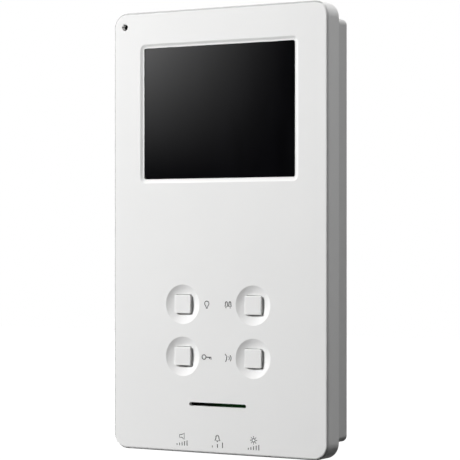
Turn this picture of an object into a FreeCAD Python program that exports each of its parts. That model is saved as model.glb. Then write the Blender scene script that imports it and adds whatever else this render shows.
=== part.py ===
import FreeCAD, Part

import math
import os

from FreeCAD import Vector

# Video intercom monitor for a wall, in millimetres.
# Origin: centre of the wall face. The front faces -Y, up is +Z, the viewer's right is +X.
# Depths are counted along Y from the wall (0) to the front face (negative).

# ---------------------------------------------------------------- driving dimensions
# Front cover
panel_width = 104.0
panel_height = 186.0
corner_radius = 6.5
rim_round = 1.1
skin = 2.2
side_wall = 2.2

# Rear housing
rear_inset_side = 2.5
rear_inset_end = 6.0
rear_wall = 2.0
rear_corner_radius = 2.5
rear_edge_round = 0.5
flange_thickness = 1.2
flange_clearance = 0.15
wall_recess = 3.4
rear_room = 8.0
snap_width = 10.0
snap_depth = 0.5
snap_from_centre = 28.0
snap_setback = 0.4
snap_root = 1.0

# Screen window and display module
window_width = 73.4
window_height = 55.6
window_below_top = 15.6
window_bevel = 1.15
window_bevel_depth = 0.4
window_lip = 0.6
window_lip_thickness = 0.2
window_corner = 0.9
window_ledge = 1.9
window_thickness = 1.0
tape_thickness = 0.15
tape_setback = 0.5
display_gap = 0.4
display_width = 76.9
display_height = 63.9
display_depth = 3.2
display_top_border = 3.3
active_width = 70.08
active_height = 52.56
gasket_inner_margin = 1.0
gasket_outer_margin = 2.5
tray_sheet = 0.3
tray_opening_margin = 0.6
cell_thickness = 1.2
cushion_thickness = 0.7
cushion_inset = 8.0
display_rib = 1.2
display_rib_short = 0.5
ribbon_width = 20.0
ribbon_thickness = 0.3
ribbon_from_centre = 8.0
ribbon_side_room = 1.0
ribbon_inset = 1.0
ribbon_straight = 2.0
ribbon_slope = 2.0
ribbon_end = 1.0
connector_height = 1.6
connector_length = 5.0
connector_end = 2.0
connector_below_display = 7.5

# Main board
board_thickness = 1.6
board_edge_gap = 0.5
board_to_flange = 0.2
# Each chip: x, z, width, height, thickness
chips = [(22.0, 30.0, 14.0, 14.0, 1.4), (22.0, 6.0, 10.0, 10.0, 1.2), (-2.0, 34.0, 8.0, 5.0, 1.5)]
capacitor_count = 3
capacitor_x = 12.0
capacitor_above_bottom = 43.0
capacitor_pitch = 8.0
capacitor_radius = 3.15
capacitor_length = 5.4
coil_x = -14.0
coil_above_bottom = 35.0
coil_radius = 5.5
coil_core_radius = 4.4
coil_flange = 0.8
coil_length = 4.8

# Buttons in their dishes
dish_radius = 8.3
dish_depth = 1.6
dish_floor = 1.3
dish_wall = 0.9
button_column = 17.1
upper_row_height = 62.1
lower_row_height = 40.2
button_side = 7.8
button_gap = 0.25
button_corner = 0.6
button_hole_corner = 0.8
button_edge_round = 0.25
button_travel = 0.4
button_flange = 0.8
button_flange_margin = 1.2
switch_side = 6.0
plunger_radius = 1.6
switch_floor = 0.4

# Status lens
lens_length = 27.6
lens_height = 1.6
lens_above_bottom = 20.4
lens_sunk = 1.6
lens_flange = 0.8
lens_flange_margin = 2.0
lens_guide_inset = 2.0
led_height = 0.8
led_width = 3.2
led_places = (3.0, 9.0)

# Microphone
mic_from_edge = 5.7
mic_from_top = 6.1
mic_hole_radius = 1.45
mic_boot_radius = 3.25
mic_channel_radius = 1.2
mic_radius = 2.25
mic_height = 2.2

# Thumbwheels and ring switch on the lower edge
control_spacing = 17.4
wheel_radius = 7.0
wheel_thickness = 2.2
wheel_room = 0.7
wheel_grooves = 36
wheel_groove_radius = 0.3
wheel_shaft_radius = 1.2
wheel_base_radius = 4.4
wheel_base_gap = 0.2
edge_sunk = 0.25
slider_width = 1.8
slider_depth = 1.4
slider_travel = 2.0
slider_head_width = 3.2
slider_head_height = 1.4
slider_inside = 3.6
switch_shell = 0.8
switch_shell_front = 0.5

# Loudspeaker
speaker_radius = 14.0
speaker_basket_depth = 3.2
speaker_magnet_radius = 7.0
speaker_pad = 1.2
speaker_chamber = 1.2
speaker_gasket = 0.4
speaker_gasket_width = 1.2
speaker_rib = 1.2
speaker_rib_height = 1.2
speaker_from_wall = 0.7
speaker_seat_width = 1.4
speaker_below_hook = 30.0
basket_sheet = 0.4
basket_rim = 1.2
basket_rim_depth = 0.8
basket_shoulder = 1.8
basket_taper = 5.0
cone_edge = 1.3
cone_surround = 1.6
cone_sheet = 0.4
cone_cap_radius = 4.0
cone_cap_depth = 1.9
cone_centre_depth = 1.0
contact_radius = 0.6
contact_from_rim = 0.9
contact_angle = 20.0
sound_slots = 7
sound_slot_height = 1.4
sound_slot_pitch = 3.4
sound_slot_reach = 2.6

# Wall plate and its hooks
plate_thickness = 1.2
plate_side_margin = 9.5
plate_end_margin = 21.0
plate_corner = 3.0
hook_width = 10.0
hook_from_side = 8.0
hook_from_end = 14.0
hook_lip = 5.0
lift_margin = 1.0
plug_hole_radius = 2.25
plug_hole_from_edge = 6.0
box_screw_spacing = 60.0
box_slot_length = 8.0
box_slot_radius = 2.1
entry_width = 30.0
entry_height = 24.0
entry_corner = 2.0
entry_above_plate_end = 42.0
entry_plate_margin = 2.0

# Terminal block
terminal_pitch = 3.5
terminal_ways = 6
terminal_width = 8.0
terminal_below_entry = 0.7
terminal_screw_offset = 1.2
terminal_screw_radius = 1.4
terminal_screw_sunk = 0.5
terminal_bore_radius = 1.45
terminal_bore_depth = 2.5
wire_hole_side = 2.4
wire_hole_above_board = 1.2
wire_hole_past_centre = 1.0

# Screws
housing_screw_from_side = 9.0
housing_screw_heights = (60.0, 15.0)
housing_screw_radius = 1.3
housing_screw_head = 2.7
housing_screw_head_height = 1.9
housing_screw_seat = 4.0
board_screw_from_side = 8.0
board_screw_radius = 1.1
board_screw_head = 2.4
board_screw_head_height = 1.6
board_screw_below_display = 6.3
board_screw_low_x = 27.0
board_screw_low_z = 27.0
boss_radius = 3.0
post_radius = 3.6
pilot_clearance = 0.05
pilot_floor = 0.2
housing_tip_room = 0.5
board_tip_room = 0.7
head_clearance = 0.2
drive_width = 0.6
drive_depth = 0.8
slot_drive = 0.5

# Clearances
running_clearance = 0.05
sliding_clearance = 0.3
touch_gap = 0.1
tolerance = 1e-4

# ---------------------------------------------------------------- derived places
half_width = panel_width / 2
half_height = panel_height / 2
front_room = display_gap + display_depth + cushion_thickness

back_outer_y = -wall_recess
back_inner_y = back_outer_y - rear_wall
board_back_y = back_inner_y - rear_room
board_front_y = board_back_y - board_thickness
skin_y = board_front_y - front_room
face_y = skin_y - skin
flange_front_y = board_back_y + board_to_flange
seam_y = flange_front_y + flange_thickness
total_depth = -face_y

inner_half_width = half_width - side_wall
inner_half_height = half_height - side_wall
rear_half_width = half_width - rear_inset_side
rear_half_height = half_height - rear_inset_end
recess_half_width = rear_half_width - rear_wall
recess_half_height = rear_half_height - rear_wall

window_z = half_height - window_below_top - window_height / 2
lip_y = face_y + window_bevel_depth
ledge_y = lip_y + window_lip_thickness
window_front_y = ledge_y + tape_thickness
window_back_y = window_front_y + window_thickness
display_front_y = skin_y + display_gap
display_back_y = display_front_y + display_depth
display_top = window_z + active_height / 2 + display_top_border
display_z = display_top - display_height / 2
display_bottom = display_top - display_height

button_places = {
    "light": (-button_column, upper_row_height - half_height),
    "intercom": (button_column, upper_row_height - half_height),
    "door": (-button_column, lower_row_height - half_height),
    "talk": (button_column, lower_row_height - half_height),
}
pad_y = face_y + dish_depth + dish_floor
key_flange_y = pad_y + touch_gap
key_back_y = key_flange_y + button_flange
switch_top_y = key_back_y + button_travel + sliding_clearance
plunger_floor_y = board_front_y - switch_floor

lens_z = lens_above_bottom - half_height
mic_x = mic_from_edge - half_width
mic_z = half_height - mic_from_top

wheel_z = edge_sunk + wheel_radius - half_height
wheel_front_y = skin_y + wheel_room
wheel_back_y = wheel_front_y + wheel_thickness
slider_y = (wheel_front_y + wheel_back_y) / 2
slider_tip_z = edge_sunk - half_height
slider_head_top = slider_tip_z + side_wall + slider_inside
slider_neck_top = slider_head_top - slider_head_height

plate_half_width = recess_half_width - plate_side_margin
plate_half_height = recess_half_height - plate_end_margin
hook_x = plate_half_width - hook_from_side
hook_z = plate_half_height - hook_from_end
entry_z = entry_above_plate_end - plate_half_height
lift_travel = hook_lip + lift_margin
terminal_screw_z = entry_z + terminal_screw_offset

speaker_guide_radius = speaker_radius + touch_gap + speaker_rib
speaker_x = speaker_guide_radius + speaker_from_wall - recess_half_width
speaker_z = hook_z - speaker_below_hook
speaker_front_y = back_inner_y - speaker_chamber - speaker_gasket

housing_screw_x = half_width - housing_screw_from_side
housing_screws_at = [
    (side * housing_screw_x, height - half_height)
    for side in (-1, 1)
    for height in housing_screw_heights
]
housing_seat_y = board_front_y + housing_screw_seat
board_screws_at = [
    (board_screw_from_side - half_width, display_bottom - board_screw_below_display),
    (half_width - board_screw_from_side, display_bottom - board_screw_below_display),
    (-board_screw_low_x, board_screw_low_z - half_height),
    (board_screw_low_x, board_screw_low_z - half_height),
]


# ---------------------------------------------------------------- shape helpers
def block(x0, x1, y0, y1, z0, z1):
    """Box between two corners."""
    return Part.makeBox(x1 - x0, y1 - y0, z1 - z0, Vector(x0, y0, z0))


def centred_block(x, z, width, height, y0, y1):
    """Box centred on (x, z), from depth y0 to depth y1."""
    return block(x - width / 2, x + width / 2, y0, y1, z - height / 2, z + height / 2)


def disc(x, z, radius, y0, y1):
    """Round bar along Y."""
    return Part.makeCylinder(radius, y1 - y0, Vector(x, y0, z), Vector(0, 1, 0))


def ring(x, z, outer, inner, y0, y1):
    """Tube along Y."""
    return disc(x, z, outer, y0, y1).cut(disc(x, z, inner, y0, y1))


def rounded_wire(x, z, width, height, radius, y):
    """Outline of a rounded rectangle at depth y."""
    arcs = []
    for side_x, side_z, start in ((1, 1, 0), (-1, 1, 90), (-1, -1, 180), (1, -1, 270)):
        centre_x = x + side_x * (width / 2 - radius)
        centre_z = z + side_z * (height / 2 - radius)
        points = []
        for turn in (start, start + 45, start + 90):
            angle = math.radians(turn)
            points.append(
                Vector(centre_x + radius * math.cos(angle), y, centre_z + radius * math.sin(angle))
            )
        arcs.append(Part.Arc(*points).toShape())
    edges = []
    for index, arc in enumerate(arcs):
        edges.append(arc)
        start_point = arc.Vertexes[-1].Point
        end_point = arcs[(index + 1) % len(arcs)].Vertexes[0].Point
        if start_point.distanceToPoint(end_point) > tolerance:
            edges.append(Part.makeLine(start_point, end_point))
    return Part.Wire(edges)


def prism(x, z, width, height, radius, y0, y1):
    """Rounded rectangle from depth y0 to depth y1."""
    face = Part.Face(rounded_wire(x, z, width, height, radius, y0))
    return face.extrude(Vector(0, y1 - y0, 0))


def turned(x, z, y, profile):
    """Solid turned about a Y axis through (x, z); the profile is (radius, depth) points."""
    points = [Vector(x + radius, y + depth, z) for radius, depth in profile]
    face = Part.Face(Part.makePolygon(points + points[:1]))
    return face.revolve(Vector(x, y, z), Vector(0, 1, 0), 360)


def fuse_all(shapes):
    """One solid from touching shapes."""
    result = shapes[0].multiFuse(shapes[1:])
    return result.removeSplitter()


def edges_at_depth(shape, y):
    """Edges that lie wholly at depth y."""
    found = []
    for edge in shape.Edges:
        box = edge.BoundBox
        if abs(box.YMin - y) < tolerance and abs(box.YMax - y) < tolerance:
            found.append(edge)
    return found


def round_at_depth(shape, y, radius):
    """Round the edges that lie at depth y."""
    return shape.makeFillet(radius, edges_at_depth(shape, y))


# ---------------------------------------------------------------- front cover
def cover_shell():
    """Tray with a rounded front rim: front skin and four side walls."""
    outer = prism(0, 0, panel_width, panel_height, corner_radius, face_y, seam_y)
    outer = round_at_depth(outer, face_y, rim_round)
    hollow = prism(
        0, 0, 2 * inner_half_width, 2 * inner_half_height, corner_radius - side_wall, skin_y, seam_y
    )
    return outer.cut(hollow)


def window_outline(grow, y):
    """Outline of the window's opening, grown on all sides, at depth y."""
    width = window_width + 2 * grow
    height = window_height + 2 * grow
    return rounded_wire(0, window_z, width, height, window_corner + grow, y)


def window_cut():
    """Bevelled opening with a flat lip, and the rebate that seats the window from inside."""
    front = window_outline(window_lip + window_bevel, face_y)
    back = window_outline(window_lip, lip_y)
    bevel = Part.makeLoft([front, back], True, True)
    opening = prism(0, window_z, window_width, window_height, window_corner, lip_y, ledge_y)
    rebate = prism(
        0,
        window_z,
        window_width + 2 * window_ledge,
        window_height + 2 * window_ledge,
        window_corner,
        ledge_y,
        skin_y,
    )
    return bevel.fuse([opening, rebate])


def display_frame_rib():
    """Low wall around the display module, open below for the ribbon."""
    fit = 2 * sliding_clearance
    depth = display_depth - display_rib_short
    outer = centred_block(
        0,
        display_z,
        display_width + fit + 2 * display_rib,
        display_height + fit + 2 * display_rib,
        skin_y,
        skin_y + depth,
    )
    inner = centred_block(
        0, display_z, display_width + fit, display_height + fit, skin_y, skin_y + depth
    )
    ribbon_gap = centred_block(
        ribbon_from_centre,
        display_bottom,
        ribbon_width + 2 * ribbon_side_room,
        4 * display_rib,
        skin_y,
        skin_y + depth,
    )
    return outer.cut(inner).cut(ribbon_gap)


def dish(x, z):
    """Shallow spherical hollow that surrounds a button."""
    sphere_radius = (dish_radius**2 + dish_depth**2) / (2 * dish_depth)
    centre = Vector(x, face_y + dish_depth - sphere_radius, z)
    return Part.makeSphere(sphere_radius, centre)


def button_hole(x, z):
    """Square hole that a button slides in."""
    side = button_side + 2 * button_gap
    return prism(x, z, side, side, button_hole_corner, face_y, pad_y)


def lower_edge_slots():
    """Slots in the lower wall for the two thumbwheels and the ring switch."""
    depth_in_wall = -half_height + side_wall - wheel_z
    half_chord = math.sqrt(wheel_radius**2 - depth_in_wall**2) + sliding_clearance
    cuts = []
    for x in (-control_spacing, control_spacing):
        cuts.append(
            block(
                x - half_chord,
                x + half_chord,
                wheel_front_y - sliding_clearance,
                wheel_back_y + sliding_clearance,
                -half_height,
                -inner_half_height,
            )
        )
    half_slot = slider_width / 2 + slider_travel + sliding_clearance
    cuts.append(
        block(
            -half_slot,
            half_slot,
            slider_y - slider_depth / 2 - sliding_clearance,
            slider_y + slider_depth / 2 + sliding_clearance,
            -half_height,
            -inner_half_height,
        )
    )
    return cuts


def snap_pockets():
    """Shallow pockets in the top wall for the rear housing's snap beads."""
    pockets = []
    for side in (-1, 1):
        x = side * snap_from_centre
        half = snap_width / 2 + touch_gap
        pockets.append(
            block(
                x - half,
                x + half,
                flange_front_y - touch_gap,
                seam_y - snap_setback + touch_gap,
                inner_half_height,
                inner_half_height + snap_depth,
            )
        )
    return pockets


def front_cover():
    """White front cover with its window, dishes, holes and inner bosses."""
    solids = [cover_shell(), display_frame_rib()]
    for x, z in button_places.values():
        solids.append(disc(x, z, dish_radius + dish_wall, skin_y, pad_y))
    for x, z in housing_screws_at + board_screws_at:
        solids.append(disc(x, z, boss_radius, skin_y, board_front_y))
    cover = fuse_all(solids)
    cuts = [window_cut()]
    for x, z in button_places.values():
        cuts.append(dish(x, z))
        cuts.append(button_hole(x, z))
    cuts.append(disc(mic_x, mic_z, mic_hole_radius, face_y, skin_y))
    cuts.append(prism(0, lens_z, lens_length, lens_height, lens_height / 2, face_y, skin_y))
    for x, z in housing_screws_at:
        cuts.append(
            disc(x, z, housing_screw_radius + pilot_clearance, skin_y + pilot_floor, board_front_y)
        )
    for x, z in board_screws_at:
        cuts.append(
            disc(x, z, board_screw_radius + pilot_clearance, skin_y + pilot_floor, board_front_y)
        )
    cuts += lower_edge_slots()
    cuts += snap_pockets()
    return cover.cut(cuts)


# ---------------------------------------------------------------- rear housing
def rear_box():
    """Flange that closes the cover, side walls down to the wall and the back wall."""
    flange_half_width = inner_half_width - flange_clearance
    flange_half_height = inner_half_height - flange_clearance
    flange = prism(
        0,
        0,
        2 * flange_half_width,
        2 * flange_half_height,
        corner_radius - side_wall,
        flange_front_y,
        seam_y,
    )
    box = prism(
        0, 0, 2 * rear_half_width, 2 * rear_half_height, rear_corner_radius, flange_front_y, 0
    )
    box = round_at_depth(box, 0, rear_edge_round)
    inside = prism(
        0,
        0,
        2 * recess_half_width,
        2 * recess_half_height,
        rear_corner_radius - rear_wall,
        flange_front_y,
        back_inner_y,
    )
    recess = prism(
        0,
        0,
        2 * recess_half_width,
        2 * recess_half_height,
        rear_corner_radius - rear_wall,
        back_outer_y,
        0,
    )
    return flange.fuse(box).cut([inside, recess])


def snap_beads():
    """Two beads on the top edge of the flange that snap into the cover."""
    beads = []
    edge = inner_half_height - flange_clearance
    for side in (-1, 1):
        x = side * snap_from_centre
        beads.append(
            block(
                x - snap_width / 2,
                x + snap_width / 2,
                flange_front_y,
                seam_y - snap_setback,
                edge - snap_root,
                inner_half_height + snap_depth - touch_gap,
            )
        )
    return beads


def speaker_seat():
    """Ring that the loudspeaker sits on and the wall that centres it, open to the left."""
    seat = ring(
        speaker_x,
        speaker_z,
        speaker_guide_radius,
        speaker_radius - speaker_seat_width,
        back_inner_y - speaker_chamber,
        back_inner_y,
    )
    guide = ring(
        speaker_x,
        speaker_z,
        speaker_guide_radius,
        speaker_radius + touch_gap,
        speaker_front_y - speaker_rib_height,
        back_inner_y,
    )
    sound_way = block(
        speaker_x - 2 * speaker_radius,
        speaker_x - speaker_radius / 2,
        speaker_front_y - speaker_rib_height - touch_gap,
        back_inner_y,
        speaker_z - speaker_radius / 2,
        speaker_z + speaker_radius / 2,
    )
    return seat.fuse(guide).cut(sound_way)


def sound_slot_cuts():
    """Row of slots in the left wall beside the loudspeaker."""
    cuts = []
    for index in range(sound_slots):
        z = speaker_z + (index - (sound_slots - 1) / 2) * sound_slot_pitch
        cuts.append(
            block(
                -rear_half_width,
                -recess_half_width,
                speaker_front_y - sound_slot_reach,
                back_inner_y,
                z - sound_slot_height / 2,
                z + sound_slot_height / 2,
            )
        )
    return cuts


def hook_slots():
    """Slots in the back wall that hang on the plate's hooks."""
    cuts = []
    half = hook_width / 2 + sliding_clearance
    for x in (-hook_x, hook_x):
        for z in (-hook_z, hook_z):
            top = z + plate_thickness / 2 + touch_gap
            bottom = top - plate_thickness - lift_travel - sliding_clearance
            cuts.append(block(x - half, x + half, back_inner_y, back_outer_y, bottom, top))
    return cuts


def rear_housing():
    """Stepped-in box behind the cover, hung on the wall plate."""
    solids = [rear_box(), speaker_seat()] + snap_beads()
    for x, z in housing_screws_at:
        solids.append(disc(x, z, post_radius, board_front_y, back_inner_y))
    housing = fuse_all(solids)
    cuts = hook_slots() + sound_slot_cuts()
    for x, z in housing_screws_at:
        cuts.append(disc(x, z, housing_screw_head + head_clearance, housing_seat_y, back_outer_y))
        cuts.append(disc(x, z, housing_screw_radius + sliding_clearance, board_front_y, housing_seat_y))
    cuts.append(prism(0, entry_z, entry_width, entry_height, entry_corner, back_inner_y, back_outer_y))
    return housing.cut(cuts)


# ---------------------------------------------------------------- wall plate
def hook(x, z):
    """Tab that passes through the housing's slot and turns up behind its wall."""
    lip_back_y = back_inner_y - sliding_clearance
    lip_front_y = lip_back_y - plate_thickness
    root = centred_block(x, z, hook_width, plate_thickness, lip_front_y, -plate_thickness / 2)
    lip = block(
        x - hook_width / 2,
        x + hook_width / 2,
        lip_front_y,
        lip_back_y,
        z - plate_thickness / 2,
        z + plate_thickness / 2 + hook_lip,
    )
    return root.fuse(lip)


def wall_plate():
    """Steel plate screwed to the wall, with four hooks."""
    plate = prism(
        0, 0, 2 * plate_half_width, 2 * plate_half_height, plate_corner, -plate_thickness, 0
    )
    cuts = [
        prism(
            0,
            entry_z,
            entry_width + 2 * entry_plate_margin,
            entry_height + 2 * entry_plate_margin,
            plate_corner,
            -plate_thickness,
            0,
        )
    ]
    for x in (-1, 1):
        for z in (-1, 1):
            hole_x = x * (plate_half_width - plug_hole_from_edge)
            hole_z = z * (plate_half_height - plug_hole_from_edge)
            cuts.append(disc(hole_x, hole_z, plug_hole_radius, -plate_thickness, 0))
    for z in (entry_z - box_screw_spacing / 2, entry_z + box_screw_spacing / 2):
        cuts.append(
            prism(
                0,
                z,
                2 * box_slot_radius,
                box_slot_length,
                box_slot_radius,
                -plate_thickness,
                0,
            )
        )
    hooks = []
    for x in (-hook_x, hook_x):
        for z in (-hook_z, hook_z):
            window_top = z - plate_thickness / 2
            cuts.append(
                block(
                    x - hook_width / 2,
                    x + hook_width / 2,
                    -plate_thickness,
                    0,
                    window_top - hook_lip,
                    window_top,
                )
            )
            hooks.append(hook(x, z))
    return fuse_all([plate.cut(cuts)] + hooks)


# ---------------------------------------------------------------- screen window and display
def window_sheet(grow, y0, y1):
    """Rounded sheet that fills the window's rebate, made smaller by the fit."""
    return prism(
        0,
        window_z,
        window_width + 2 * window_ledge - 2 * grow,
        window_height + 2 * window_ledge - 2 * grow,
        window_corner,
        y0,
        y1,
    )


def screen_window():
    """Tinted acrylic window."""
    return window_sheet(touch_gap, window_front_y, window_back_y)


def window_tape():
    """Adhesive frame between the window and its ledge."""
    opening = prism(
        0,
        window_z,
        window_width + 2 * tape_setback,
        window_height + 2 * tape_setback,
        window_corner,
        ledge_y,
        window_front_y,
    )
    return window_sheet(touch_gap, ledge_y, window_front_y).cut(opening)


def screen_frame(margin, y0, y1):
    """Block a margin wider than the display's active area."""
    width = active_width + 2 * margin
    height = active_height + 2 * margin
    return centred_block(0, window_z, width, height, y0, y1)


def screen_gasket():
    """Foam frame that keeps dust out between the window and the display."""
    return screen_frame(gasket_outer_margin, window_back_y, display_front_y).cut(
        screen_frame(gasket_inner_margin, window_back_y, display_front_y)
    )


def display_tray():
    """Folded steel frame of the display module."""
    outer = centred_block(
        0, display_z, display_width, display_height, display_front_y, display_back_y
    )
    inner = centred_block(
        0,
        display_z,
        display_width - 2 * tray_sheet,
        display_height - 2 * tray_sheet,
        display_front_y + tray_sheet,
        display_back_y,
    )
    opening = screen_frame(tray_opening_margin, display_front_y, display_front_y + tray_sheet)
    ribbon_notch = centred_block(
        ribbon_from_centre,
        display_bottom,
        ribbon_width + 2 * touch_gap,
        4 * tray_sheet,
        display_front_y + cell_thickness,
        display_back_y,
    )
    return outer.cut([inner, opening, ribbon_notch])


def display_layer(y0, y1):
    """Flat layer that lies inside the display's tray."""
    inset = 2 * (tray_sheet + touch_gap)
    return centred_block(0, display_z, display_width - inset, display_height - inset, y0, y1)


def display_cell():
    """Liquid crystal glass."""
    front = display_front_y + tray_sheet
    return display_layer(front, front + cell_thickness)


def display_backlight():
    """Light guide and reflector behind the glass."""
    return display_layer(display_front_y + tray_sheet + cell_thickness, display_back_y)


def display_cushion():
    """Foam pad between the display and the board."""
    width = display_width - 2 * cushion_inset
    height = display_height - 2 * cushion_inset
    return centred_block(0, display_z, width, height, display_back_y, board_front_y)


def ribbon_profile():
    """Side view of the ribbon: straight out of the display, down a slope, into the socket."""
    start_z = display_bottom + tray_sheet + touch_gap
    start_y = display_back_y - ribbon_inset
    end_y = board_front_y - connector_height / 2
    slope_top = display_bottom - ribbon_straight
    slope_bottom = slope_top - ribbon_slope
    return [
        (start_y, start_z),
        (start_y, slope_top),
        (end_y, slope_bottom),
        (end_y, slope_bottom - ribbon_end),
    ]


def display_ribbon():
    """Flat flexible cable from the display to its socket."""
    front = ribbon_profile()
    back = [(y + ribbon_thickness, z) for y, z in reversed(front)]
    x0 = ribbon_from_centre - ribbon_width / 2
    points = [Vector(x0, y, z) for y, z in front + back]
    face = Part.Face(Part.makePolygon(points + points[:1]))
    return face.extrude(Vector(ribbon_width, 0, 0))


def ribbon_socket():
    """Socket on the board that grips the ribbon."""
    return centred_block(
        ribbon_from_centre,
        display_bottom - connector_below_display,
        ribbon_width + 2 * connector_end,
        connector_length,
        board_front_y - connector_height,
        board_front_y,
    )


# ---------------------------------------------------------------- main board
def main_board():
    """Circuit board that fills the cover, open around the housing posts."""
    board = prism(
        0,
        0,
        2 * (inner_half_width - board_edge_gap),
        2 * (inner_half_height - board_edge_gap),
        corner_radius - side_wall,
        board_front_y,
        board_back_y,
    )
    cuts = []
    for x, z in housing_screws_at:
        cuts.append(disc(x, z, post_radius + board_edge_gap, board_front_y, board_back_y))
    for x, z in board_screws_at:
        cuts.append(
            disc(x, z, board_screw_radius + sliding_clearance, board_front_y, board_back_y)
        )
    return board.cut(cuts)


def integrated_circuits():
    """Video processor, audio chip and line driver on the back of the board."""
    solids = []
    for x, z, width, height, depth in chips:
        solids.append(centred_block(x, z, width, height, board_back_y, board_back_y + depth))
    return Part.makeCompound(solids)


def capacitors():
    """Three aluminium electrolytic capacitors."""
    solids = []
    for index in range(capacitor_count):
        z = capacitor_above_bottom - half_height - index * capacitor_pitch
        back_y = board_back_y + capacitor_length
        solids.append(disc(capacitor_x, z, capacitor_radius, board_back_y, back_y))
    return Part.makeCompound(solids)


def line_coil():
    """Choke of the two-wire line: a flanged bobbin."""
    profile = [
        (0, 0),
        (coil_radius, 0),
        (coil_radius, coil_flange),
        (coil_core_radius, coil_flange),
        (coil_core_radius, coil_length - coil_flange),
        (coil_radius, coil_length - coil_flange),
        (coil_radius, coil_length),
        (0, coil_length),
    ]
    return turned(coil_x, coil_above_bottom - half_height, board_back_y, profile)


def terminal_block():
    """Row of screw terminals behind the cable entry."""
    length = terminal_ways * terminal_pitch
    back_y = back_inner_y - terminal_below_entry
    body = centred_block(0, entry_z, length, terminal_width, board_back_y, back_y)
    wire_front_y = board_back_y + wire_hole_above_board
    bore_front_y = back_y - terminal_bore_depth
    cuts = []
    for x in terminal_places():
        cuts.append(disc(x, terminal_screw_z, terminal_bore_radius, bore_front_y, back_y))
        cuts.append(
            block(
                x - wire_hole_side / 2,
                x + wire_hole_side / 2,
                wire_front_y,
                wire_front_y + wire_hole_side,
                entry_z - terminal_width / 2,
                entry_z + wire_hole_past_centre,
            )
        )
    return body.cut(cuts)


def terminal_places():
    """Places of the terminals along X."""
    first = -(terminal_ways - 1) / 2 * terminal_pitch
    return [first + index * terminal_pitch for index in range(terminal_ways)]


def slotted_head(x, z, radius, y0, y1):
    """Round screw head with a straight drive slot in its rear face."""
    head = disc(x, z, radius, y0, y1)
    return head.cut(centred_block(x, z, 2 * radius, slot_drive, y1 - slot_drive, y1))


def terminal_screws():
    """Clamping screws in the terminal block."""
    back_y = back_inner_y - terminal_below_entry
    front_y = back_y - terminal_bore_depth
    head_y = back_y - terminal_screw_sunk
    solids = []
    for x in terminal_places():
        solids.append(slotted_head(x, terminal_screw_z, terminal_screw_radius, front_y, head_y))
    return Part.makeCompound(solids)


# ---------------------------------------------------------------- buttons and switches
def button(x, z):
    """Square key cap with the flange that keeps it in the cover."""
    cap = prism(x, z, button_side, button_side, button_corner, face_y, key_flange_y)
    cap = round_at_depth(cap, face_y, button_edge_round)
    flange_side = button_side + 2 * button_gap + 2 * button_flange_margin
    flange = prism(x, z, flange_side, flange_side, button_corner, key_flange_y, key_back_y)
    return fuse_all([cap, flange])


def switch_plunger(x, z):
    """Stem of the push switch, resting against the key cap."""
    return disc(x, z, plunger_radius, key_back_y, plunger_floor_y - button_travel - touch_gap)


def key_switches():
    """Four push switches on the board."""
    solids = []
    for x, z in button_places.values():
        body = centred_block(x, z, switch_side, switch_side, switch_top_y, board_front_y)
        bore = disc(x, z, plunger_radius + running_clearance, switch_top_y, plunger_floor_y)
        solids.append(body.cut(bore))
    return Part.makeCompound(solids)


# ---------------------------------------------------------------- status light and microphone
def status_lens():
    """Smoked bar in the slot, with a flange and a light guide behind it."""
    bar = prism(
        0,
        lens_z,
        lens_length - 2 * touch_gap,
        lens_height - 2 * touch_gap,
        lens_height / 2 - touch_gap,
        face_y + lens_sunk,
        skin_y,
    )
    flange_back_y = skin_y + lens_flange
    flange = centred_block(
        0,
        lens_z,
        lens_length + 2 * lens_flange_margin,
        lens_height + 2 * lens_flange_margin,
        skin_y,
        flange_back_y,
    )
    guide = centred_block(
        0,
        lens_z,
        lens_length - 2 * lens_guide_inset,
        lens_height,
        flange_back_y,
        board_front_y - led_height - sliding_clearance,
    )
    return fuse_all([bar, flange, guide])


def status_leds():
    """Two light-emitting diodes under the right half of the lens."""
    solids = []
    front_y = board_front_y - led_height
    for x in led_places:
        solids.append(centred_block(x, lens_z, led_width, lens_height, front_y, board_front_y))
    return Part.makeCompound(solids)


def microphone():
    """Electret capsule on the board."""
    return disc(mic_x, mic_z, mic_radius, board_front_y - mic_height, board_front_y)


def microphone_boot():
    """Rubber cup that leads the sound from the hole to the capsule."""
    step_y = board_front_y - mic_height - touch_gap
    cup = disc(mic_x, mic_z, mic_boot_radius, skin_y, board_front_y)
    pocket = disc(mic_x, mic_z, mic_radius + running_clearance, step_y, board_front_y)
    channel = disc(mic_x, mic_z, mic_channel_radius, skin_y, step_y)
    return cup.cut([pocket, channel])


# ---------------------------------------------------------------- controls on the lower edge
def thumbwheel(x):
    """Knurled wheel with a bore for its shaft."""
    wheel = disc(x, wheel_z, wheel_radius, wheel_front_y, wheel_back_y)
    cuts = [
        disc(x, wheel_z, wheel_shaft_radius + running_clearance, wheel_front_y, wheel_back_y)
    ]
    for index in range(wheel_grooves):
        angle = 2 * math.pi * index / wheel_grooves
        groove_x = x + wheel_radius * math.sin(angle)
        groove_z = wheel_z + wheel_radius * math.cos(angle)
        cuts.append(disc(groove_x, groove_z, wheel_groove_radius, wheel_front_y, wheel_back_y))
    return wheel.cut(cuts)


def wheel_bases():
    """Potentiometer bases with the shafts that carry the wheels."""
    base_front_y = wheel_back_y + wheel_base_gap
    solids = []
    for x in (-control_spacing, control_spacing):
        base = disc(x, wheel_z, wheel_base_radius, base_front_y, board_front_y)
        shaft = disc(x, wheel_z, wheel_shaft_radius, wheel_front_y, base_front_y)
        solids.append(fuse_all([base, shaft]))
    return Part.makeCompound(solids)


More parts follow.
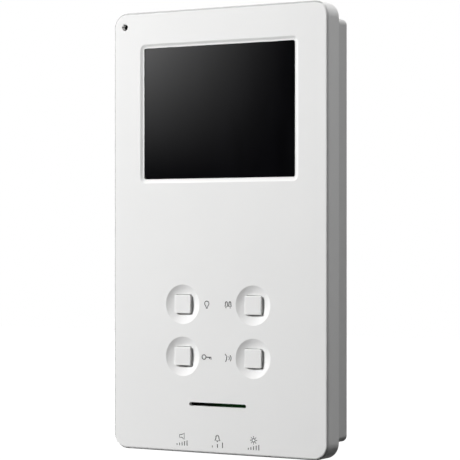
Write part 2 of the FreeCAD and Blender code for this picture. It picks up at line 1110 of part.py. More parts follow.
def ring_slider():
    """Knob of the three-position switch: a finger below, a wider head inside."""
    finger = block(
        -slider_width / 2,
        slider_width / 2,
        slider_y - slider_depth / 2,
        slider_y + slider_depth / 2,
        slider_tip_z,
        slider_neck_top,
    )
    head = block(
        -slider_head_width / 2,
        slider_head_width / 2,
        slider_y - slider_depth / 2,
        slider_y + slider_depth / 2,
        slider_neck_top,
        slider_head_top,
    )
    return fuse_all([finger, head])


def ring_switch():
    """Body of the three-position switch, with the channel that its knob slides in."""
    gap = running_clearance
    bottom = -inner_half_height + board_edge_gap
    half_head = slider_head_width / 2 + slider_travel + gap
    half_finger = slider_width / 2 + slider_travel + gap
    front = slider_y - slider_depth / 2 - gap
    back = slider_y + slider_depth / 2 + gap
    body = block(
        -half_head - switch_shell,
        half_head + switch_shell,
        front - switch_shell_front,
        board_front_y,
        bottom,
        slider_head_top + gap + switch_shell,
    )
    channel = block(
        -half_head, half_head, front, back, slider_neck_top - gap, slider_head_top + gap
    )
    mouth = block(-half_finger, half_finger, front, back, bottom, slider_neck_top)
    return body.cut([channel, mouth])


# ---------------------------------------------------------------- loudspeaker
def speaker_part(profile):
    """Turned speaker piece; its profile is (radius, distance in front of the rim) points."""
    mirrored = [(radius, -depth) for radius, depth in profile]
    return turned(speaker_x, speaker_z, speaker_front_y, mirrored)


def speaker_basket():
    """Steel basket: rim, cone-shaped wall and back plate."""
    rim = speaker_radius
    depth = speaker_basket_depth
    inner = depth - basket_sheet
    slant = basket_sheet * 0.75
    return speaker_part(
        [
            (rim - basket_rim, 0),
            (rim, 0),
            (rim, basket_rim_depth),
            (rim - basket_shoulder, basket_rim_depth),
            (rim - basket_taper, depth),
            (0, depth),
            (0, inner),
            (rim - basket_taper - slant, inner),
            (rim - basket_shoulder - slant, basket_rim_depth - basket_sheet),
            (rim - basket_rim, basket_rim_depth - basket_sheet),
        ]
    )


def speaker_cone():
    """Paper cone with its surround and dust cap."""
    rim = speaker_radius - cone_edge
    front = running_clearance
    return speaker_part(
        [
            (0, cone_centre_depth),
            (cone_cap_radius, cone_cap_depth),
            (rim - cone_surround, front),
            (rim, front),
            (rim, cone_sheet),
            (rim - cone_surround + touch_gap, cone_sheet),
            (cone_cap_radius + touch_gap, cone_cap_depth + cone_sheet),
            (0, cone_centre_depth + cone_sheet),
        ]
    )


def speaker_magnet():
    """Magnet behind the basket."""
    front_y = board_back_y + speaker_pad
    return disc(
        speaker_x,
        speaker_z,
        speaker_magnet_radius,
        front_y,
        speaker_front_y - speaker_basket_depth,
    )


def speaker_foam():
    """Foam pad that presses the loudspeaker against its seat."""
    return disc(
        speaker_x, speaker_z, speaker_magnet_radius, board_back_y, board_back_y + speaker_pad
    )


def speaker_ring():
    """Soft ring between the loudspeaker's rim and its seat."""
    return ring(
        speaker_x,
        speaker_z,
        speaker_radius,
        speaker_radius - speaker_gasket_width,
        speaker_front_y,
        back_inner_y - speaker_chamber,
    )


def speaker_contacts():
    """Two sprung contact pins between the board and the loudspeaker's rim."""
    pin_circle = speaker_radius - contact_from_rim
    solids = []
    for side in (-1, 1):
        angle = math.radians(side * contact_angle)
        x = speaker_x + pin_circle * math.cos(angle)
        z = speaker_z + pin_circle * math.sin(angle)
        solids.append(disc(x, z, contact_radius, board_back_y, speaker_front_y - basket_rim_depth))
    return Part.makeCompound(solids)


# ---------------------------------------------------------------- screws
def screw(x, z, radius, head_radius, head_height, seat_y, tip_y):
    """Self-tapping screw driven from behind, with a cross slot."""
    shank = disc(x, z, radius, tip_y, seat_y)
    head = disc(x, z, head_radius, seat_y, seat_y + head_height)
    solid = fuse_all([shank, head])
    top = seat_y + head_height
    slot_length = 1.3 * head_radius
    across = centred_block(x, z, slot_length, drive_width, top - drive_depth, top)
    along = centred_block(x, z, drive_width, slot_length, top - drive_depth, top)
    return solid.cut([across, along])


def housing_screws():
    """Four screws that join the rear housing to the cover."""
    solids = []
    for x, z in housing_screws_at:
        solids.append(
            screw(
                x,
                z,
                housing_screw_radius,
                housing_screw_head,
                housing_screw_head_height,
                housing_seat_y,
                skin_y + housing_tip_room,
            )
        )
    return Part.makeCompound(solids)


def board_screws():
    """Four screws that hold the board on the cover's bosses."""
    solids = []
    for x, z in board_screws_at:
        solids.append(
            screw(
                x,
                z,
                board_screw_radius,
                board_screw_head,
                board_screw_head_height,
                board_back_y,
                skin_y + board_tip_room,
            )
        )
    return Part.makeCompound(solids)


# ---------------------------------------------------------------- nodes
def all_nodes():
    """Every piece by its node name."""
    nodes = {
        "front_cover": front_cover(),
        "rear_housing": rear_housing(),
        "wall_plate": wall_plate(),
        "screen_window": screen_window(),
        "window_tape": window_tape(),
        "screen_gasket": screen_gasket(),
        "display_tray": display_tray(),
        "display_cell": display_cell(),
        "display_backlight": display_backlight(),
        "display_cushion": display_cushion(),
        "display_ribbon": display_ribbon(),
        "ribbon_socket": ribbon_socket(),
        "main_board": main_board(),
        "integrated_circuits": integrated_circuits(),
        "capacitors": capacitors(),
        "line_coil": line_coil(),
        "terminal_block": terminal_block(),
        "terminal_screws": terminal_screws(),
        "key_switches": key_switches(),
        "status_lens": status_lens(),
        "status_leds": status_leds(),
        "microphone": microphone(),
        "microphone_boot": microphone_boot(),
        "volume_wheel": thumbwheel(-control_spacing),
        "brightness_wheel": thumbwheel(control_spacing),
        "wheel_bases": wheel_bases(),
        "ring_slider": ring_slider(),
        "ring_switch": ring_switch(),
        "speaker_basket": speaker_basket(),
        "speaker_cone": speaker_cone(),
        "speaker_magnet": speaker_magnet(),
        "speaker_foam": speaker_foam(),
        "speaker_ring": speaker_ring(),
        "speaker_contacts": speaker_contacts(),
        "housing_screws": housing_screws(),
        "board_screws": board_screws(),
    }
    for name, (x, z) in button_places.items():
        nodes[name + "_button"] = button(x, z)
        nodes[name + "_plunger"] = switch_plunger(x, z)
    return nodes


os.makedirs("parts", exist_ok=True)
for node_name, shape in all_nodes().items():
    shape.exportStep("parts/" + node_name + ".step")
    print(node_name, len(shape.Solids), round(shape.Volume, 1), shape.isValid())
print("total depth", total_depth)
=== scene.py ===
import math

import bmesh
import bpy
from mathutils import Matrix, Vector


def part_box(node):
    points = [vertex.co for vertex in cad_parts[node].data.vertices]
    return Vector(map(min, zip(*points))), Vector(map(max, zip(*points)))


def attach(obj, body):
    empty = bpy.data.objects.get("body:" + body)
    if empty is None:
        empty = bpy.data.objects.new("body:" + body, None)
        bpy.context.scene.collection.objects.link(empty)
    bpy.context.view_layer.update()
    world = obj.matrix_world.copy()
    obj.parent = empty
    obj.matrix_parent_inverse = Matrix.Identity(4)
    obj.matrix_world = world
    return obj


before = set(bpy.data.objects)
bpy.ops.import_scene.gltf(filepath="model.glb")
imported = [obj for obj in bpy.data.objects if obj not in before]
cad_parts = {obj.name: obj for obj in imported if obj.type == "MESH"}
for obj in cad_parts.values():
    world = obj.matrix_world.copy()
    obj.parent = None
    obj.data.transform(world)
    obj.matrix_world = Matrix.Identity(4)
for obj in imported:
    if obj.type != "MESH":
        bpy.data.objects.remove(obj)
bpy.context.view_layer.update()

MM = 0.001

# Rounding of the front cover, as in the CAD
CORNER_RADIUS = 6.5 * MM
RIM_ROUND = 1.1 * MM

# Printed symbols: how far the ink stands proud, and stroke widths in millimetres
PRINT_PROUD = 0.02 * MM
FINE = 0.4
FIRM = 0.42
RAY = 0.34
BELL_LINE = 0.46
CLAPPER = 0.75
BUTTON_LABEL_OFFSET = 5.2 * MM
CONTROL_LABEL_HEIGHT = 6.7 * MM
# Bars under the control symbols, in millimetres from the symbol's centre
BARS_BASE = -3.95
BARS_TALL = 2.2
SHORTEST_BAR = 0.35

# Camera
VIEW_AZIMUTH = math.radians(31.0)
VIEW_DISTANCE = 818.0 * MM
AIM_RIGHT = 6.1 * MM
AIM_UP = -2.8 * MM
LENS_LENGTH = 154.6
SENSOR_WIDTH = 36.0
SHIFT_UP = 0.0158

# Stage, in metres
FLOOR_SIZE = 14.0
FLOOR_DROP = 0.35
CLOTH_SIZE = 0.9
CLOTH_DROP = 0.14
CARD_SIZE = 1.6
CARD_DISTANCE = 1.2
CARD_ACROSS = (-0.07, 0.12)
CARD_UPWARD = (0.0, 0.15)
CARD_FALLOFF = 1.6
CARD_STRENGTH = 3.9
LOW_LAMP_DROP = 0.28
WORLD_DIM = 0.04
WHITE_LIGHT = (1.0, 1.0, 1.0, 1.0)

# ------------------------------------------------------------------ places from the frame
cover_low, cover_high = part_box("front_cover")
lens_low, lens_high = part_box("status_lens")
face_y = cover_low.y
panel_bottom = cover_low.z
panel_width = cover_high.x - cover_low.x
panel_height = cover_high.z - cover_low.z


def centre_of(node):
    """Middle of a CAD node's box."""
    low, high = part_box(node)
    return (low + high) / 2


# ------------------------------------------------------------------ node helpers
def new_material(name):
    """Material with a Principled shader; returns it with its node tree and the shader."""
    made = bpy.data.materials.new(name)
    made.use_nodes = True
    return made, made.node_tree, made.node_tree.nodes["Principled BSDF"]


def add_node(tree, kind, **inputs):
    """Node of a kind with some of its inputs set by name."""
    node = tree.nodes.new(kind)
    for key, value in inputs.items():
        node.inputs[key.replace("_", " ")].default_value = value
    return node


def operate(tree, kind, operation, *values):
    """Math node of a kind; each value is a socket to link or a constant to set."""
    node = tree.nodes.new(kind)
    node.operation = operation
    for socket, value in zip(node.inputs, values):
        if isinstance(value, bpy.types.NodeSocket):
            tree.links.new(value, socket)
        else:
            socket.default_value = value
    return node


def calculated(tree, operation, *values):
    """Result of a Math node."""
    return operate(tree, "ShaderNodeMath", operation, *values).outputs[0]


def vector_step(tree, operation, *values):
    """Result of a Vector Math node."""
    return operate(tree, "ShaderNodeVectorMath", operation, *values).outputs[0]


def separated(tree, vector):
    """X, Y and Z of a vector."""
    node = tree.nodes.new("ShaderNodeSeparateXYZ")
    tree.links.new(vector, node.inputs["Vector"])
    return node.outputs


def coordinates(tree, stretch=(1.0, 1.0, 1.0)):
    """Object coordinates, in metres, stretched along each axis."""
    place = tree.nodes.new("ShaderNodeTexCoord")
    mapping = add_node(tree, "ShaderNodeMapping", Scale=stretch)
    tree.links.new(place.outputs["Object"], mapping.inputs["Vector"])
    return mapping.outputs["Vector"]


def noise(tree, vector, size, detail=3.0, roughness=0.55):
    """Noise whose blotches are about size metres across."""
    node = add_node(
        tree, "ShaderNodeTexNoise", Scale=1.0 / size, Detail=detail, Roughness=roughness
    )
    tree.links.new(vector, node.inputs["Vector"])
    return node.outputs["Fac"]


def spread(tree, value, low=0.0, high=1.0, from_low=0.3, from_high=0.7):
    """Maps a value to a range; the input range given here is where noise mostly lies."""
    node = add_node(
        tree,
        "ShaderNodeMapRange",
        From_Min=from_low,
        From_Max=from_high,
        To_Min=low,
        To_Max=high,
    )
    tree.links.new(value, node.inputs["Value"])
    return node.outputs["Result"]


def tint(tree, factor, first, second):
    """Colour between two; the first is a colour or a socket that gives one."""
    node = tree.nodes.new("ShaderNodeMix")
    node.data_type = "RGBA"
    if isinstance(first, bpy.types.NodeSocket):
        tree.links.new(first, node.inputs["A"])
    else:
        node.inputs["A"].default_value = (*first, 1.0)
    node.inputs["B"].default_value = (*second, 1.0)
    tree.links.new(factor, node.inputs["Factor"])
    return node.outputs["Result"]


def paint(tree, shader, factor, first, second):
    """Colours a shader between two colours."""
    tree.links.new(tint(tree, factor, first, second), shader.inputs["Base Color"])


def roughen(tree, shader, field, low, high):
    """Varies a shader's roughness between two values."""
    tree.links.new(spread(tree, field, low, high), shader.inputs["Roughness"])


def bump(tree, shader, height, distance):
    """Bump on a shader from a height field."""
    node = add_node(tree, "ShaderNodeBump", Distance=distance)
    tree.links.new(height, node.inputs["Height"])
    tree.links.new(node.outputs["Normal"], shader.inputs["Normal"])


def mixed_shaders(tree, factor, first, second):
    """Shader from the first to the second by a factor; None stands for no light."""
    node = tree.nodes.new("ShaderNodeMixShader")
    tree.links.new(factor, node.inputs["Fac"])
    if first is not None:
        tree.links.new(first, node.inputs[1])
    tree.links.new(second, node.inputs[2])
    return node.outputs[0]


def scaled(colour, factor, lift=0.0):
    """Colour made lighter or darker."""
    return [channel * factor + lift for channel in colour]


# ------------------------------------------------------------------ materials
def moulded(name, colour, roughness=(0.46, 0.56), grain=0.35 * MM, depth=0.006 * MM):
    """Moulded plastic: fine spark-eroded grain, faint flow marks and uneven gloss."""
    made, tree, shader = new_material(name)
    place = coordinates(tree)
    flow_marks = noise(tree, place, size=28 * MM, detail=2.0)
    paint(tree, shader, spread(tree, flow_marks), scaled(colour, 0.985), colour)
    gloss = noise(tree, place, size=3.5 * MM, detail=4.0)
    roughen(tree, shader, gloss, *roughness)
    bump(tree, shader, noise(tree, place, grain, detail=2.0, roughness=0.6), depth)
    shader.inputs["IOR"].default_value = 1.5
    shader.inputs["Specular IOR Level"].default_value = 0.32
    return made


def with_painted_rim_shade(made, colour):
    """Adds painted shade: a fine darker line along the rounded rim on the left and top edges."""
    tree = made.node_tree
    shader = tree.nodes["Principled BSDF"]
    place = tree.nodes.new("ShaderNodeTexCoord")
    normal = separated(tree, place.outputs["Normal"])
    faces_front = spread(tree, normal["Y"], 1.0, 0.0, from_low=-0.4, from_high=-0.2)
    leaning = calculated(tree, "SUBTRACT", normal["Z"], normal["X"])
    faces_upper_left = spread(tree, leaning, from_low=0.1, from_high=0.25)
    # One corner stands for all four: distance from its arc's centre, or from the straight
    # lines through that centre, grows from the flat face to the outline.
    folded = vector_step(tree, "ABSOLUTE", place.outputs["Object"])
    arc_centre = (panel_width / 2 - CORNER_RADIUS, 1.0, panel_height / 2 - CORNER_RADIUS)
    past_centre = vector_step(tree, "SUBTRACT", folded, arc_centre)
    outward = vector_step(tree, "MAXIMUM", past_centre, (0.0, 0.0, 0.0))
    reach = operate(tree, "ShaderNodeVectorMath", "LENGTH", outward).outputs["Value"]
    rim_start = CORNER_RADIUS - RIM_ROUND
    on_rim = spread(tree, reach, from_low=rim_start + 0.1 * MM, from_high=rim_start + 0.3 * MM)
    # Painted shade: rim faces turned to the upper left are mixed towards the darker colour.
    line = calculated(
        tree, "MULTIPLY", calculated(tree, "MULTIPLY", on_rim, faces_front), faces_upper_left
    )
    paint(tree, shader, line, shader.inputs["Base Color"].links[0].from_socket, colour)
    return made


def glossy(name, colour, roughness=(0.02, 0.05)):
    """Polished plastic or glass with barely visible smears."""
    made, tree, shader = new_material(name)
    smear = noise(tree, coordinates(tree, (1.0, 1.0, 0.3)), size=9 * MM, detail=5.0)
    roughen(tree, shader, smear, *roughness)
    paint(tree, shader, spread(tree, smear), colour, scaled(colour, 1.6, 0.0005))
    waves = noise(tree, coordinates(tree), size=20 * MM, detail=1.0)
    bump(tree, shader, waves, 0.0004 * MM)
    shader.inputs["IOR"].default_value = 1.49
    return made


def plated(name, colour, roughness=(0.28, 0.42), stretch=(0.03, 1.0, 1.0)):
    """Plated or rolled sheet metal: fine lines along the stretched axis, cloudy plating."""
    made, tree, shader = new_material(name)
    lines = noise(tree, coordinates(tree, stretch), size=0.25 * MM, detail=2.0)
    cloud = noise(tree, coordinates(tree), size=6 * MM, detail=4.0)
    paint(tree, shader, spread(tree, cloud), scaled(colour, 0.86), colour)
    roughen(tree, shader, cloud, *roughness)
    bump(tree, shader, lines, 0.006 * MM)
    shader.inputs["Metallic"].default_value = 1.0
    return made


def foam(name, colour, cell=0.5 * MM):
    """Soft foam, felt or rubber with small open cells."""
    made, tree, shader = new_material(name)
    place = coordinates(tree)
    cells = add_node(tree, "ShaderNodeTexVoronoi", Scale=1.0 / cell)
    tree.links.new(place, cells.inputs["Vector"])
    mottle = noise(tree, place, size=2 * MM)
    paint(tree, shader, spread(tree, mottle), colour, scaled(colour, 1.5, 0.01))
    roughen(tree, shader, noise(tree, place, size=1.2 * MM), 0.75, 0.92)
    bump(tree, shader, cells.outputs["Distance"], 0.03 * MM)
    return made


def circuit_board(name):
    """Green solder mask over rows of raised copper tracks."""
    made, tree, shader = new_material(name)
    place = coordinates(tree)
    tracks = add_node(
        tree,
        "ShaderNodeTexBrick",
        Scale=1.0,
        Brick_Width=9 * MM,
        Row_Height=1.3 * MM,
        Mortar_Size=0.22 * MM,
        Mortar_Smooth=0.1,
    )
    turn = add_node(tree, "ShaderNodeMapping", Rotation=(math.radians(90), 0, 0))
    tree.links.new(place, turn.inputs["Vector"])
    tree.links.new(turn.outputs["Vector"], tracks.inputs["Vector"])
    copper = tracks.outputs["Fac"]
    paint(tree, shader, copper, (0.012, 0.11, 0.045), (0.03, 0.22, 0.09))
    roughen(tree, shader, noise(tree, place, size=1.5 * MM), 0.25, 0.4)
    bump(tree, shader, copper, 0.03 * MM)
    return made


def smoked_lens(name):
    """Smoked bar that shows green where the light behind it shines, in its right half."""
    made, tree, shader = new_material(name)
    place = tree.nodes.new("ShaderNodeTexCoord")
    along = separated(tree, place.outputs["Object"])["X"]
    length = lens_high.x - lens_low.x
    lit = spread(tree, along, from_low=-0.16 * length, from_high=0.12 * length)
    patch = noise(tree, coordinates(tree), size=1.6 * MM, detail=2.0)
    glow = calculated(tree, "MULTIPLY", lit, spread(tree, patch, 0.55, 1.0))
    paint(tree, shader, glow, (0.002, 0.0025, 0.002), (0.001, 0.008, 0.002))
    light = tint(tree, glow, (0.0, 0.0, 0.0), (0.001, 0.011, 0.0015))
    tree.links.new(light, shader.inputs["Emission Color"])
    shader.inputs["Emission Strength"].default_value = 1.0
    roughen(tree, shader, patch, 0.12, 0.2)
    bump(tree, shader, patch, 0.001 * MM)
    return made


def ink(name, colour):
    """Pad-printed ink: matt, a little uneven."""
    made, tree, shader = new_material(name)
    worn = noise(tree, coordinates(tree), size=0.25 * MM)
    paint(tree, shader, spread(tree, worn), colour, scaled(colour, 1.35, 0.01))
    roughen(tree, shader, worn, 0.5, 0.65)
    bump(tree, shader, worn, 0.002 * MM)
    return made


materials = {
    # The cover's rim gets a painted shade line along its left and top edges.
    "cover": with_painted_rim_shade(moulded("cover_plastic", (0.83, 0.83, 0.825)), (0.40, 0.40, 0.40)),
    "housing": moulded(
        "housing_plastic", (0.67, 0.67, 0.665), roughness=(0.5, 0.6), depth=0.009 * MM
    ),
    "button": moulded(
        "button_plastic", (0.84, 0.84, 0.835), roughness=(0.42, 0.5), grain=0.25 * MM
    ),
    "wheel": moulded("wheel_plastic", (0.22, 0.225, 0.23), roughness=(0.45, 0.55)),
    "black": moulded("black_plastic", (0.02, 0.02, 0.02), roughness=(0.35, 0.5)),
    "cream": moulded("socket_plastic", (0.62, 0.58, 0.47), roughness=(0.4, 0.5)),
    "terminal": moulded("terminal_plastic", (0.03, 0.24, 0.08), roughness=(0.35, 0.45)),
    "diffuser": moulded("diffuser_plastic", (0.75, 0.76, 0.76), roughness=(0.3, 0.4)),
    "paper": foam("speaker_paper", (0.03, 0.03, 0.03), cell=0.3 * MM),
    "window": glossy("window_acrylic", (0.002, 0.002, 0.0025)),
    "cell": glossy("display_glass", (0.01, 0.01, 0.014)),
    "led": glossy("led_resin", (0.03, 0.4, 0.06), roughness=(0.1, 0.2)),
    "ribbon": glossy("ribbon_film", (0.35, 0.17, 0.03), roughness=(0.2, 0.3)),
    "lens": smoked_lens("lens_smoked"),
    "zinc": plated("zinc_plate", (0.62, 0.63, 0.64)),
    "steel": plated("tinned_steel", (0.66, 0.66, 0.66), stretch=(1.0, 1.0, 0.03)),
    "can": plated("can_aluminium", (0.74, 0.74, 0.75)),
    "brass": plated("contact_brass", (0.78, 0.58, 0.22)),
    "foam": foam("black_foam", (0.02, 0.02, 0.02)),
    "rubber": foam("rubber_black", (0.018, 0.018, 0.018), cell=0.8 * MM),
    "ferrite": foam("ferrite_grey", (0.05, 0.05, 0.055), cell=0.4 * MM),
    "board": circuit_board("board_green"),
    "ink": ink("label_ink", (0.05, 0.05, 0.053)),
}

keys = ("light", "intercom", "door", "talk")
nodes_by_finish = {
    "cover": ["front_cover"],
    "housing": ["rear_housing"],
    "zinc": ["wall_plate"],
    "window": ["screen_window"],
    "lens": ["status_lens"],
    "button": [key + "_button" for key in keys],
    "wheel": ["volume_wheel", "brightness_wheel", "ring_slider"],
    "black": ["integrated_circuits", "key_switches"] + [key + "_plunger" for key in keys],
    "cream": ["ribbon_socket", "wheel_bases"],
    "terminal": ["terminal_block"],
    "cell": ["display_cell"],
    "diffuser": ["display_backlight"],
    "ribbon": ["display_ribbon"],
    "board": ["main_board"],
    "led": ["status_leds"],
    "can": ["capacitors", "microphone"],
    "ferrite": ["line_coil", "speaker_magnet"],
    "rubber": ["microphone_boot"],
    "paper": ["speaker_cone"],
    "brass": ["speaker_contacts"],
    "foam": ["window_tape", "screen_gasket", "display_cushion", "speaker_foam", "speaker_ring"],
    "steel": [
        "display_tray",
        "terminal_screws",
        "ring_switch",
        "speaker_basket",
        "housing_screws",
        "board_screws",
    ],
}
for finish, node_names in nodes_by_finish.items():
    for node_name in node_names:
        for material_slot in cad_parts[node_name].material_slots:
            material_slot.material = materials[finish]


# ------------------------------------------------------------------ printed symbols
def arc(x, z, radius, start, end, steps=16):
    """Points on an arc, in millimetres, angles in degrees from +X towards +Z."""
    points = []
    for step in range(steps + 1):
        angle = math.radians(start + (end - start) * step / steps)
        points.append((x + radius * math.cos(angle), z + radius * math.sin(angle)))
    return points


def stroke_mesh(name, points, width):
    """Flattened round line through points, in the plane y = 0; the sizes are millimetres."""
    curve = bpy.data.curves.new(name + "_stroke", "CURVE")
    curve.dimensions = "3D"
    curve.bevel_depth = width / 2 * MM
    curve.bevel_resolution = 3
    curve.use_fill_caps = True
    spline = curve.splines.new("POLY")
    closed = points[0] == points[-1]
    kept = points[:-1] if closed else points
    spline.points.add(len(kept) - 1)
    for point, (x, z) in zip(spline.points, kept):
        point.co = (x * MM, 0.0, z * MM, 1.0)
    spline.use_cyclic_u = closed
    holder = bpy.data.objects.new(name + "_holder", curve)
    bpy.context.scene.collection.objects.link(holder)
    evaluated = holder.evaluated_get(bpy.context.evaluated_depsgraph_get())
    mesh = bpy.data.meshes.new_from_object(evaluated)
    bpy.data.objects.remove(holder)
    flat = 2 * PRINT_PROUD / (width * MM)
    for vertex in mesh.vertices:
        vertex.co.y *= flat
    return mesh


def printed(name, strokes, x, z):
    """Flat ink symbol on the front face: each stroke is (points, width) in millimetres."""
    whole = bmesh.new()
    for points, width in strokes:
        whole.from_mesh(stroke_mesh(name, points, width))
    mesh = bpy.data.meshes.new(name)
    whole.to_mesh(mesh)
    whole.free()
    mesh.transform(Matrix.Translation((x, face_y, z)))
    mesh.materials.append(materials["ink"])
    for polygon in mesh.polygons:
        polygon.use_smooth = True
    piece = bpy.data.objects.new(name, mesh)
    bpy.context.scene.collection.objects.link(piece)
    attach(piece, "monitor")


def bars(count, pitch):
    """Row of rising bars."""
    strokes = []
    for index in range(count):
        x = (index - (count - 1) / 2) * pitch
        height = BARS_TALL * (SHORTEST_BAR + (1 - SHORTEST_BAR) * index / (count - 1))
        strokes.append(([(x, BARS_BASE), (x, BARS_BASE + height)], FIRM))
    return strokes


def bulb_symbol():
    """Light bulb: round glass and a short cap."""
    glass = arc(0, 0.45, 1.05, -60, 240)
    return [
        (glass + [(-0.5, -1.0), (0.5, -1.0)] + glass[:1], FINE),
        ([(-0.45, -1.45), (0.45, -1.45)], FINE),
    ]


def bells_symbol():
    """Two bells side by side, each with its clapper."""
    half_spacing, lift = 0.85, 0.1
    body = [(-0.68, -0.6), (-0.5, -0.1), (-0.42, 0.75)] + arc(0, 0.85, 0.42, 180, 0, 6)
    body += [(0.5, -0.1), (0.68, -0.6), (-0.68, -0.6)]
    strokes = []
    for side in (-1, 1):
        strokes.append(([(x + side * half_spacing, z + lift) for x, z in body], BELL_LINE))
        strokes.append(([(side * 1.05, -1.0), (side * 1.05, -1.25)], CLAPPER))
    return strokes


def key_symbol():
    """Key with a round bow and two teeth."""
    return [
        (arc(-1.35, 0, 0.95, 0, 360), FIRM),
        ([(-0.4, 0), (2.2, 0)], FIRM),
        ([(1.35, 0), (1.35, -0.75)], FINE),
        ([(2.05, 0), (2.05, -0.95)], FINE),
    ]


def talk_symbol():
    """Mouth in profile with two sound arcs."""
    upper_lip = [(-1.5, 1.6), (-0.9, 0.9), (-0.45, 0.35), (-0.95, 0.0)]
    lower_lip = [(-0.55, -0.4), (-0.95, -1.0), (-1.3, -1.7)]
    return [
        (upper_lip + lower_lip, FIRM),
        (arc(-0.6, -0.1, 1.15, -40, 40, 8), FINE),
        (arc(-0.6, -0.1, 2.0, -38, 38, 8), FINE),
    ]


def speaker_symbol():
    """Loudspeaker in profile: small box and flared horn."""
    box = [(-0.2, 0.55), (-1.2, 0.55), (-1.2, -0.55), (-0.2, -0.55)]
    horn = [(1.1, -1.3), (1.1, 1.3)]
    return [(box[1:] + horn + box[:2], FINE)]


def bell_symbol():
    """Bell with its clapper."""
    body = [(-1.3, -1.0), (-0.85, -0.5), (-0.7, 0.4)] + arc(0, 0.45, 0.7, 180, 0, 8)
    body += [(0.7, 0.4), (0.85, -0.5), (1.3, -1.0), (-1.3, -1.0)]
    return [(body, FINE), ([(-0.35, -1.45), (0.35, -1.45)], FINE)]


def sun_symbol():
    """Sun: a ring with eight rays."""
    strokes = [(arc(0, 0, 0.75, 0, 360), FINE)]
    for index in range(8):
        angle = math.radians(45 * index)
        points = [(r * math.cos(angle), r * math.sin(angle)) for r in (1.1, 1.7)]
        strokes.append((points, RAY))
    return strokes


for name, symbol, button_node, x in (
    ("print_bulb", bulb_symbol(), "light_button", -BUTTON_LABEL_OFFSET),
    ("print_bells", bells_symbol(), "intercom_button", BUTTON_LABEL_OFFSET),
    ("print_key", key_symbol(), "door_button", -BUTTON_LABEL_OFFSET),
    ("print_talk", talk_symbol(), "talk_button", BUTTON_LABEL_OFFSET),
):
    printed(name, symbol, x, centre_of(button_node).z)

for name, symbol, control_node, bar_count, pitch in (
    ("print_volume", speaker_symbol(), "volume_wheel", 5, 1.25),
    ("print_ring", bell_symbol(), "ring_slider", 3, 2.45),
    ("print_brightness", sun_symbol(), "brightness_wheel", 5, 1.25),
):
    strokes = symbol + bars(bar_count, pitch)
    printed(name, strokes, centre_of(control_node).x, panel_bottom + CONTROL_LABEL_HEIGHT)


# ------------------------------------------------------------------ camera
camera_data = bpy.data.cameras.new("camera")
camera_data.lens = LENS_LENGTH
camera_data.sensor_width = SENSOR_WIDTH
camera_data.shift_y = SHIFT_UP
camera_data.clip_start = 0.05
camera_data.clip_end = 50.0
camera = bpy.data.objects.new("camera", camera_data)
bpy.context.scene.collection.objects.link(camera)
forward = Vector((-math.sin(VIEW_AZIMUTH), math.cos(VIEW_AZIMUTH), 0.0))
camera.location = Vector((AIM_RIGHT, face_y, AIM_UP)) - forward * VIEW_DISTANCE
camera.rotation_euler = (math.radians(90), 0.0, VIEW_AZIMUTH)
bpy.context.scene.camera = camera


# ------------------------------------------------------------------ stage
def plane(name, size, location, material, rotation=(0.0, 0.0, 0.0)):
    """Square stage plane."""
    mesh = bpy.data.meshes.new(name)
    half = size / 2
    corners = [(-half, -half, 0), (half, -half, 0), (half, half, 0), (-half, half, 0)]
    mesh.from_pydata(corners, [], [(0, 1, 2, 3)])
    mesh.materials.append(material)
    made = bpy.data.objects.new(name, mesh)
    made.location = location
    made.rotation_euler = rotation
    bpy.context.scene.collection.objects.link(made)
    return made


def background_seen(tree):
    """1 on rays that show the background: camera, glossy and transmission rays."""
    path = tree.nodes.new("ShaderNodeLightPath").outputs
    direct = calculated(tree, "MAXIMUM", path["Is Camera Ray"], path["Is Glossy Ray"])
    return calculated(tree, "MAXIMUM", direct, path["Is Transmission Ray"])


def floor_material():
    """Dark paper that is lifted to white for the background, and clear from below."""
    made, tree, shader = new_material("floor_paper")
    grain = noise(tree, coordinates(tree), size=4 * MM, detail=2.0)
    paint(tree, shader, spread(tree, grain), (0.045, 0.045, 0.045), (0.055, 0.055, 0.055))
    shader.inputs["Roughness"].default_value = 0.9
    glow = add_node(tree, "ShaderNodeEmission", Strength=1.0)
    lifted = tree.nodes.new("ShaderNodeAddShader")
    tree.links.new(shader.outputs[0], lifted.inputs[0])
    tree.links.new(
        mixed_shaders(tree, background_seen(tree), None, glow.outputs[0]), lifted.inputs[1]
    )
    side = tree.nodes.new("ShaderNodeNewGeometry").outputs["Backfacing"]
    clear = tree.nodes.new("ShaderNodeBsdfTransparent")
    one_sided = mixed_shaders(tree, side, lifted.outputs[0], clear.outputs[0])
    tree.links.new(one_sided, tree.nodes["Material Output"].inputs["Surface"])
    return made


def cloth_material():
    """Black cloth with a faint weave."""
    made, tree, shader = new_material("black_cloth")
    weave = noise(tree, coordinates(tree), size=1.0 * MM, detail=2.0)
    paint(tree, shader, weave, (0.004, 0.004, 0.004), (0.008, 0.008, 0.008))
    shader.inputs["Roughness"].default_value = 1.0
    shader.inputs["Specular IOR Level"].default_value = 0.0
    return made


def card_material():
    """Light that is bright towards the card's upper left and fades to black."""
    made, tree, _ = new_material("card_gradient")
    place = tree.nodes.new("ShaderNodeTexCoord")
    on_card = separated(tree, place.outputs["Object"])
    fading = []
    for axis, (dark_end, bright_end) in (("X", CARD_ACROSS), ("Y", CARD_UPWARD)):
        ramp = spread(tree, on_card[axis], from_low=dark_end, from_high=bright_end)
        fading.append(calculated(tree, "POWER", ramp, CARD_FALLOFF))
    glow = tree.nodes.new("ShaderNodeEmission")
    strength = calculated(tree, "MULTIPLY", calculated(tree, "MULTIPLY", *fading), CARD_STRENGTH)
    tree.links.new(strength, glow.inputs["Strength"])
    tree.links.new(glow.outputs[0], tree.nodes["Material Output"].inputs["Surface"])
    return made


plane("floor", FLOOR_SIZE, (0.0, 0.0, panel_bottom - FLOOR_DROP), floor_material())

# The cloth keeps the floor's light off the object's underside, and lets the low lamp through.
cloth = plane("under_cloth", CLOTH_SIZE, (0.0, 0.0, panel_bottom - CLOTH_DROP), cloth_material())
cloth.visible_camera = False
cloth.visible_shadow = False

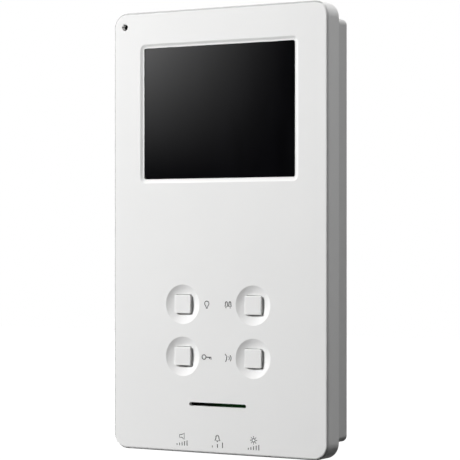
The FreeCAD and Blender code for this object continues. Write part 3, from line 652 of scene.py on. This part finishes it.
# The card stands where the camera sees it mirrored in the screen, and shows in gloss only.
mirrored_view = Vector((-math.sin(VIEW_AZIMUTH), -math.cos(VIEW_AZIMUTH), 0.0))
card = plane(
    "reflection_card",
    CARD_SIZE,
    centre_of("screen_window") + mirrored_view * CARD_DISTANCE,
    card_material(),
    rotation=(math.radians(90), 0.0, math.pi - VIEW_AZIMUTH),
)
card.visible_camera = False
card.visible_diffuse = False
card.visible_shadow = False
card.visible_transmission = False


# ------------------------------------------------------------------ lights
def lamp(name, location, target, size, power):
    """Soft square lamp that faces a point and shows neither itself nor its reflection."""
    data = bpy.data.lights.new(name, "AREA")
    data.shape = "SQUARE"
    data.size = size
    data.energy = power
    made = bpy.data.objects.new(name, data)
    made.location = location
    aim = Vector(target) - Vector(location)
    made.rotation_euler = aim.to_track_quat("-Z", "Y").to_euler()
    made.visible_glossy = False
    made.visible_camera = False
    bpy.context.scene.collection.objects.link(made)


def world_light():
    """White background, and a dim even light for everything else."""
    world = bpy.data.worlds.new("studio")
    bpy.context.scene.world = world
    world.use_nodes = True
    tree = world.node_tree
    shown = tree.nodes["Background"]
    shown.inputs["Color"].default_value = WHITE_LIGHT
    shown.inputs["Strength"].default_value = 1.0
    dim = add_node(tree, "ShaderNodeBackground", Color=WHITE_LIGHT, Strength=WORLD_DIM)
    mix = mixed_shaders(tree, background_seen(tree), dim.outputs[0], shown.outputs[0])
    tree.links.new(mix, tree.nodes["World Output"].inputs["Surface"])


middle = (0.0, 0.0, 0.0)
under_middle = (0.0, 0.0, -0.05)
lamp("key_lamp", (-0.96, -0.82, 0.58), middle, size=0.4, power=28.9)
lamp("fill_lamp", (0.58, -0.25, 0.48), middle, size=0.3, power=0.6)
lamp("top_lamp", (0.35, 0.2, 1.4), middle, size=0.8, power=16.0)
lamp("back_lamp", (-0.45, 1.35, 0.45), middle, size=0.8, power=18.0)
lamp("low_lamp", (-0.12, 0.3, panel_bottom - LOW_LAMP_DROP), under_middle, size=0.3, power=0.8)
world_light()
bpy.context.scene.view_settings.view_transform = "Standard"
